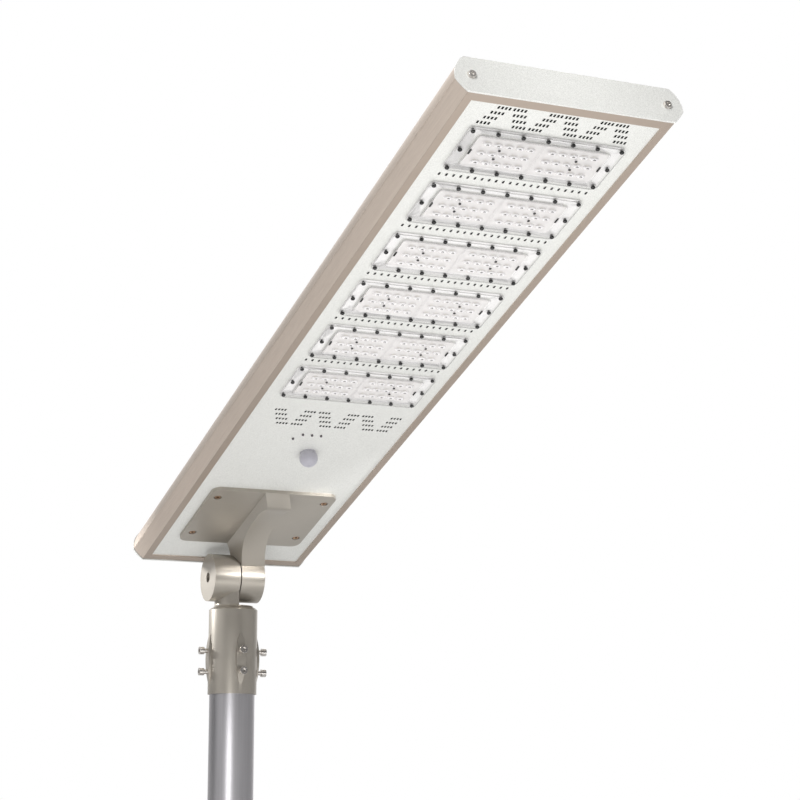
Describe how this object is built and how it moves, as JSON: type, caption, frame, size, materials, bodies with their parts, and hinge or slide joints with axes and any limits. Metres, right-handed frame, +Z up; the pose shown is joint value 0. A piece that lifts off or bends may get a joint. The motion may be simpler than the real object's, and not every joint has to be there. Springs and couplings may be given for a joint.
{
  "type": "solar street lamp",
  "caption": "All-in-one solar street lamp: slim panel head with LED modules below, tilting knuckle and sleeve on a pole top.",
  "frame": {"origin": "centre of the pole section's lower end", "axes": "+Z up along the pole; the lamp head reaches out along -Y; +X is the side of the arm's knuckle"},
  "size_m": [0.314, 1.3017, 0.994],
  "materials": {
    "pole_steel": "polished galvanised tube",
    "cast_alloy": "satin bead-blasted casting",
    "stainless": "polished stainless",
    "warm_steel": "yellow-passivated steel",
    "dark_steel": "satin",
    "friction_pad": "matt",
    "plate_alloy": "fine-blasted, anodised",
    "rail_alloy": "brushed, champagne anodised",
    "seal_rubber": "matt",
    "white_gasket": "matt",
    "panel_glass": "clear tempered",
    "silicon": "anti-reflection coated",
    "white_film": "matt",
    "black_plastic": "moulded",
    "tray_alloy": "mill finish",
    "cell_sleeve": "shrink sleeved",
    "circuit_board": "solder mask",
    "led_board": "white solder mask",
    "led_phosphor": "silicone",
    "clear_lens": "clear moulded polycarbonate",
    "dome_plastic": "translucent",
    "dark_lens": "tinted",
    "wire": "satin",
    "wire_red": "satin"
  },
  "bodies": {
    "pole": {"pole_section": "pole_steel"},
    "sleeve": {"pole_sleeve": "cast_alloy", "set_screws": "stainless", "pivot_bolt": "stainless", "pivot_nut": "stainless", "pivot_washer": "stainless", "friction_disc": "friction_pad"},
    "head": {"tilt_arm": "cast_alloy", "bracket_screws": "warm_steel", "backing_plate": "stainless", "bottom_plate": "plate_alloy", "left_rail": "rail_alloy", "right_rail": "rail_alloy", "front_channel": "rail_alloy", "rear_channel": "rail_alloy", "front_cap": "plate_alloy", "rear_cap": "plate_alloy", "front_gasket": "seal_rubber", "rear_gasket": "seal_rubber", "cap_screws": "stainless", "solar_glass": "panel_glass", "solar_cells": "silicon", "solar_backsheet": "white_film", "panel_seal": "seal_rubber", "panel_junction_box": "black_plastic", "battery_tray": "tray_alloy", "battery_lid": "tray_alloy", "battery_cells": "cell_sleeve", "battery_board": "circuit_board", "controller_case": "black_plastic", "controller_lid": "black_plastic", "controller_board": "circuit_board", "motion_dome": "dome_plastic", "motion_sensor": "stainless", "sensor_board": "circuit_board", "indicator_lenses": "dark_lens", "receiver_window": "dark_lens", "led_chips": "led_phosphor", "lens_screws": "dark_steel", "led_harness": "wire", "panel_lead": "wire", "battery_lead": "wire_red", "led_lens_1": "clear_lens", "led_lens_2": "clear_lens", "led_lens_3": "clear_lens", "led_lens_4": "clear_lens", "led_lens_5": "clear_lens", "led_lens_6": "clear_lens", "led_board_1": "led_board", "led_board_2": "led_board", "led_board_3": "led_board", "led_board_4": "led_board", "led_board_5": "led_board", "led_board_6": "led_board", "lens_gasket_1": "white_gasket", "lens_gasket_2": "white_gasket", "lens_gasket_3": "white_gasket", "lens_gasket_4": "white_gasket", "lens_gasket_5": "white_gasket", "lens_gasket_6": "white_gasket"}
  },
  "joints": [
    {"name": "sleeve_turn", "type": "hinge", "parent": "pole", "child": "sleeve", "pos_m": [0, 0, 0.372], "axis": [0, 0, 1], "range_deg": [-180, 180]},
    {"name": "head_tilt", "type": "hinge", "parent": "sleeve", "child": "head", "pos_m": [0, 0, 0.495], "axis": [-1, 0, 0], "range_deg": [-28, 42]}
  ]
}
